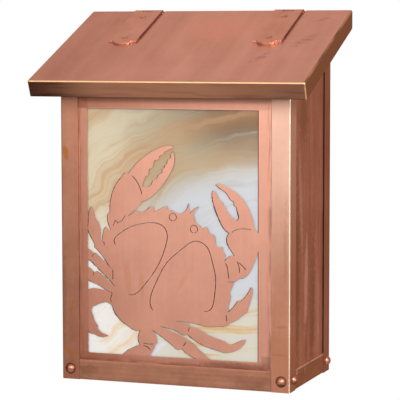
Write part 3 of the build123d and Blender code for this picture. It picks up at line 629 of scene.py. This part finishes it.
# The pane. Rolled opalescent glass, white and cream with amber and brown dragged through it while it
# was soft, so that its face is gently uneven. It stands behind the window in eight bent clips.
PANE_CELL = 0.0024
PANE_RIPPLE = 0.00022
PANE_CORNER = 0.0015
CUT_SNAP = 1e-7
CLIP_FILED = 0.0001
SWIRL = (100.0, -143.5, -140.0)
WHITE_GLASS = tint(219, 215, 209)
LAVENDER = tint(204, 200, 211)
MIST = tint(164, 156, 144)
CREAM = tint(200, 186, 158)
BEIGE = tint(172, 157, 130)
TAUPE = tint(118, 94, 72)
BLUE_GREY = tint(188, 190, 194)
SAND = tint(200, 190, 168)
AMBER = tint(176, 124, 70)
HONEY = tint(196, 152, 88)
TAN = tint(216, 182, 134)

pane_low, pane_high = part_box("art_glass")
pane_size = pane_high - pane_low
pane_middle = (pane_high + pane_low) / 2
pane = bmesh.new()
bmesh.ops.create_cube(pane, size=1.0)
bmesh.ops.scale(pane, verts=pane.verts, vec=pane_size)
bmesh.ops.translate(pane, verts=pane.verts, vec=pane_middle)
corners = [
    edge for edge in pane.edges
    if abs((edge.verts[0].co - edge.verts[1].co).y) > 0.5 * pane_size.y
]
bmesh.ops.bevel(
    pane, geom=corners, offset=PANE_CORNER, offset_type="OFFSET", segments=3, profile=0.5,
    affect="EDGES", clamp_overlap=True, material=-1,
)
for axis in (0, 2):
    square = Vector([float(i == axis) for i in range(3)])
    cells = round(pane_size[axis] / PANE_CELL)
    for cut in range(1, cells):
        bmesh.ops.bisect_plane(
            pane, geom=pane.verts[:] + pane.edges[:] + pane.faces[:], dist=CUT_SNAP,
            plane_co=pane_low + pane_size * cut / cells, plane_no=square,
        )
for point in pane.verts:
    roll = noise.noise(point.co * 55.0) * 0.6 + noise.noise(point.co * 140.0) * 0.4
    inward = 1.0 if point.co.y < pane_middle.y else -1.0
    point.co.y += inward * PANE_RIPPLE * (0.5 + 0.5 * roll)

opal, place = new_material("opal_glass")


def stirred(soft, size, reach):
    """Pushes a place about in eddies of that size, as the glass was before it set."""
    return soft.node("VectorMath", {"operation": "MULTIPLY_ADD"}, {
        0: place.eddies(size),
        1: (reach, 0.0, reach),
        2: soft,
    })


def streaks(along, over, thick, length):
    """Noise drawn out into streaks that run along the first value and are stacked up the second."""
    flow = place.node("CombineXYZ", {}, {0: along / length, 1: 0.0, 2: over / thick})
    return flow.noise(1.0, detail=4.0, rough=0.55)


soft = stirred(stirred(place, 75.0, 44.0), 22.0, 12.0)
x, _, z = soft.axes()
tilted = z - x * 0.4
from_swirl = soft.away(SWIRL).stretch(1.0, 0.0, 1.0)
ring = from_swirl.length()
swirl_across, _, swirl_up = from_swirl.axes()
turn = swirl_up.bearing(swirl_across)
arcs = streaks(turn, ring, 13.0, 0.8)
fine_arcs = streaks(turn, ring, 4.5, 0.5)


def ground():
    """Cream at the top left, brown at the top right, blue-grey in the middle, white at the lower left."""
    colour = x.rise(-85.0, -25.0).mix(CREAM, BEIGE)
    colour = (x.rise(-30.0, 70.0) * z.rise(35.0, 88.0)).mix(colour, TAUPE)
    colour = ((1 - tilted.rise(-12.0, 26.0)) * x.rise(-75.0, -15.0)).mix(colour, BLUE_GREY)
    return ((1 - z.rise(-80.0, 20.0)) * (1 - x.rise(-80.0, 20.0))).mix(colour, WHITE_GLASS)


def upper_swirls(colour):
    """Pale and amber arcs round the middle of the stir, with few ambers in the blue-grey."""
    upper = z.rise(-60.0, 30.0)
    left_half = 1 - x.rise(-20.0, 40.0)
    pale = arcs.rise(0.52, 0.66) * 0.4 + fine_arcs.rise(0.5, 0.7) * 0.3
    colour = (pale * upper).mix(colour, x.rise(-60.0, 40.0).mix(CREAM, MIST))
    milky = fine_arcs.rise(0.45, 0.8) * (1 - tilted.rise(-12.0, 40.0)) * 0.45
    colour = (milky * upper).mix(colour, WHITE_GLASS)
    broad = ring.band(190.0, 199.0, 14.0) * 0.3 + ring.band(233.0, 243.0, 16.0) * 0.4
    broad = broad + ring.band(294.0, 300.0, 12.0) * 0.5
    threads = streaks(turn, ring, 2.4, 0.8).rise(0.5, 0.72)
    amber = broad * (0.35 + arcs.rise(0.35, 0.7)) + (1 - arcs.rise(0.38, 0.5)) * (0.06 + left_half * 0.4)
    amber = amber + threads * (0.1 + left_half * 0.2)
    blue_part = 1 - tilted.rise(-5.0, 34.0)
    return (amber * upper * (1 - blue_part * 0.85)).mix(colour, AMBER)


def lower_bands(colour):
    """Level bands of sand, honey and blue-grey at the lower right."""
    bands = streaks(x, z * 0.3 + place.axes()[2] * 0.7, 6.0, 120.0)
    lower = 1 - z.rise(-118.0, -84.0)
    right_part = lower * x.rise(-20.0, 20.0)
    colour = (lower * x.rise(-40.0, 0.0) * 0.8).mix(colour, SAND)
    colour = (right_part * bands.rise(0.5, 0.66) * 0.8).mix(colour, HONEY)
    return (right_part * (1 - bands.rise(0.34, 0.46)) * 0.6).mix(colour, BLUE_GREY)


def lower_slopes(colour):
    """Slanting streaks of tan and lavender at the lower left."""
    slopes = streaks(x, z * 0.82 - x * 0.57, 9.0, 90.0)
    lower_left = (1 - z.rise(-110.0, -60.0)) * (1 - x.rise(-20.0, 10.0))
    colour = (lower_left * slopes.rise(0.52, 0.68) * 0.75).mix(colour, TAN)
    return (lower_left * (1 - slopes.rise(0.34, 0.46)) * 0.8).mix(colour, LAVENDER)


surface(place, {
    "Base Color": lower_slopes(lower_bands(upper_swirls(ground()))),
    "Roughness": 0.16 + fine_arcs * 0.08,
    "Coat Weight": 0.3,
    "Coat Roughness": 0.06,
    "Normal": place.node("Bump", {}, {"Strength": 0.25, "Distance": 0.0002, "Height": place.noise(9.0)}),
})
finished(pane, "pane", "box", opal, "art_glass")
dressed("glass_clips", "pane_clips", "box", back_copper, filed=CLIP_FILED)


# The corner rivets. Round heads hammered up from copper wire, set through holes in the angles and the
# sides, hold the tray to them. The lower side of each head carries painted shade.
def head_shade(place):
    """The dents of the hammer."""
    return place.noise(2.6)


rivet_copper = copper(
    "rivet_copper", tint(170, 104, 80), tint(232, 166, 138), head_shade, (1.6, 1.6, 1.6), roughness=0.4,
    blots=(
        # Painted shade on the lower side of each head.
        front_stain(DARK, 0.8, -RIVET_OUT - 3.9, RIVET_LEVEL - 1.0, 3.0, 5.4, lean=-14, ragged=0.2),
        front_stain(DARK, 0.75, RIVET_OUT + 1.9, RIVET_LEVEL - 4.0, 5.4, 2.8, lean=-24, ragged=0.2),
        side_stain(DARK, 0.7, FRONT_RIVET - 2.2, RIVET_LEVEL - 3.4, 3.4, 3.4, ragged=0.2),
        side_stain(DARK, 0.7, REAR_RIVET + 1.1, RIVET_LEVEL - 3.4, 4.4, 3.0, ragged=0.2),
    ),
)
for node in ("front_corner_rivets", "side_front_rivets", "side_rear_rivets"):
    dressed(node, node.replace("rivets", "studs"), "box", rivet_copper, filed=0.0)


# The lid. One sheet with its front and sides turned down and the corners soldered, brushed along the
# slope. Its front fold and right corner carry a painted highlight, its side folds painted shade with broken
# painted highlights on the right, and the turned-down edge is painted darker and unevenly, as painted shade
# and dark reflection.
PIN = Vector(frame["joints"][0]["pos_m"]) / MM
LID_SLOPE = math.radians(22.75)
LID_TOP = 1.6
LID_REACH = 185.5
LID_SIDE = corners_of("lid_pan")[1].x
SKIRT_FOOT = -16.75
DOWN_GRAIN = (1.6, 60.0, 60.0)
ACROSS_LID = (0, 0, 1)
SMUDGE = tint(140, 100, 90)
FOLD_HIGHLIGHT = tint(250, 196, 148)


def over_lid(place):
    """Height over the pin line, square to the lid, and distance down the slope."""
    _, y, z = place.away(PIN).axes()
    up_part, along_part = math.cos(LID_SLOPE), math.sin(LID_SLOPE)
    return z * up_part - y * along_part, z * -along_part - y * up_part


def bend(place):
    """Where the sheet turns down from the top of the lid."""
    return over_lid(place)[0].band(LID_TOP - 1.5, LID_TOP - 0.2, 0.15)


def lid_front(place):
    """The last of the lid before its front edge."""
    return over_lid(place)[1].rise(LID_REACH - 2.7, LID_REACH - 2.1)


def front_fold_highlight(place):
    """The painted highlight along the fold over the front of the lid."""
    return bend(place) * lid_front(place)


def side_fold_shade(place):
    """The painted shade along the folds at the sides of the lid."""
    return bend(place) * (1 - lid_front(place)) * 0.6


def side_fold_highlight(place):
    """The right side's fold, with a painted highlight broken into patches."""
    patches = place.stretch(0.0, 0.022, 0.0).noise(1.0).rise(0.35, 0.6)
    return bend(place) * place.axes()[0].rise(120.0, 149.0) * patches


def lid_skirt(place):
    """The turned-down edge."""
    return 1 - over_lid(place)[0].rise(LID_TOP - 2.2, LID_TOP - 1.1)


def skirt_side(place):
    """The turned-down edge along the right side."""
    return lid_skirt(place) * place.axes()[0].rise(LID_SIDE - 1.05, LID_SIDE - 0.35) * 0.6


def skirt_corner_highlight(place):
    """The soldered right corner of the turned-down edge, with a broken painted highlight."""
    filed = place.noise(3.0, detail=3.0).rise(0.25, 0.5)
    outer = place.axes()[0].rise(LID_SIDE - 1.65, LID_SIDE - 0.85)
    return lid_skirt(place) * outer * over_lid(place)[1].rise(LID_REACH - 1.9, LID_REACH - 1.1) * filed


def lid_shade(place):
    """Browner at the left, pinker in the middle and to the right."""
    wipes = place.stretch(0.03, 0.011, 0.011).noise(1.0)
    return 0.33 + place.axes()[0].rise(-150.0, 40.0) * 0.27 + (wipes - 0.5) * 0.6


def skirt_shadow(place):
    """Painted shade and dark reflection on the turned-down front edge: darker ends and lower rim, with
    streaks.
    """
    x = place.axes()[0]
    ends = (1 - x.rise(-150.0, -60.0)) * 0.95 + x.rise(20.0, 150.0) * 0.4
    streaky = place.stretch(0.02, 0.25, 0.25).noise(1.0, detail=4.0).rise(0.45, 0.75) * 0.25
    rim = 1 - over_lid(place)[0].rise(SKIRT_FOOT + 0.15, SKIRT_FOOT + 0.95)
    return (ends + streaky + rim * 0.6) * lid_skirt(place) * lid_front(place)


def smudge(strength, centre, size, lean):
    """A blot for a greasy mark of many short strokes on the lid."""
    return SMUDGE, lambda place: (
        smear(place, centre, size, ACROSS_LID, lean, 1.2)
        * place.noise(3.6, detail=5.0, rough=0.65).rise(0.42, 0.66) * strength
    )


lid_copper = copper(
    "lid_copper", tint(164, 113, 99), tint(216, 160, 144), lid_shade, DOWN_GRAIN,
    cloud=0.5, brush=0.3, roughness=0.42,
    blots=(
        stain(tint(214, 142, 124), 0.4, (20, -50, 180), (50, 40, 40), ACROSS_LID, ragged=1.0),
        smudge(0.8, (122, -78, 170), (26, 8, 60), lean=-58),
        smudge(0.8, (86, -120, 152), (20, 6, 60), lean=-58),
        smudge(0.7, (124, -27, 190), (14, 5, 60), lean=-30),
        smudge(0.3, (-110, -30, 190), (30, 12, 60), lean=-30),
        # The turned-down edge is painted darker, as painted shade and dark reflection.
        (tint(190, 132, 102), lid_skirt),
        (tint(84, 50, 38), skirt_shadow),
        (tint(150, 96, 72), skirt_side),
        # Painted shade along the side folds.
        (tint(96, 62, 46), side_fold_shade),
        # A broken painted highlight on the right side's fold.
        (tint(236, 168, 124), side_fold_highlight),
        # Painted highlights on the front fold and the right corner.
        (FOLD_HIGHLIGHT, front_fold_highlight),
        (FOLD_HIGHLIGHT, skirt_corner_highlight),
    ),
)
dressed("lid_pan", "lid_sheet", "lid", lid_copper)


# The hinges. Each is a heavy strap riveted on the lid, rolled round a pin in two knuckles, and a leaf
# riveted inside the back with the middle knuckle. The pins are copper rod, peened over at both ends.
STRAP_FILED = 0.0004
STRAP_TIP = 74.0


def strap_shade(place):
    """Clouded a little."""
    return 0.42 + (place.noise(24.0) - 0.5) * 0.5


def strap_rim_highlight(place):
    """The edges of the straps' tips, with a painted highlight."""
    over, down = over_lid(place)
    return over.band(LID_TOP + 0.3, LID_TOP + 2.3, 0.2) * down.rise(STRAP_TIP, STRAP_TIP + 2.0)


strap_copper = copper(
    "strap_copper", tint(168, 114, 99), tint(218, 161, 144), strap_shade, DOWN_GRAIN,
    cloud=0.5, brush=0.3, roughness=0.4,
    blots=((tint(240, 196, 172), strap_rim_highlight),),
)
for side in ("left", "right"):
    dressed(side + "_hinge_strap", side + "_strap", "lid", strap_copper, filed=STRAP_FILED)
    dressed(side + "_hinge_leaf", side + "_leaf", "box", strap_copper, filed=STRAP_FILED)
    dressed(side + "_hinge_pin", side + "_pin", "box", rivet_copper, filed=0.0)
dressed("strap_rivets", "strap_studs", "lid", rivet_copper, filed=0.0)
dressed("leaf_rivets", "leaf_studs", "box", rivet_copper, filed=0.0)
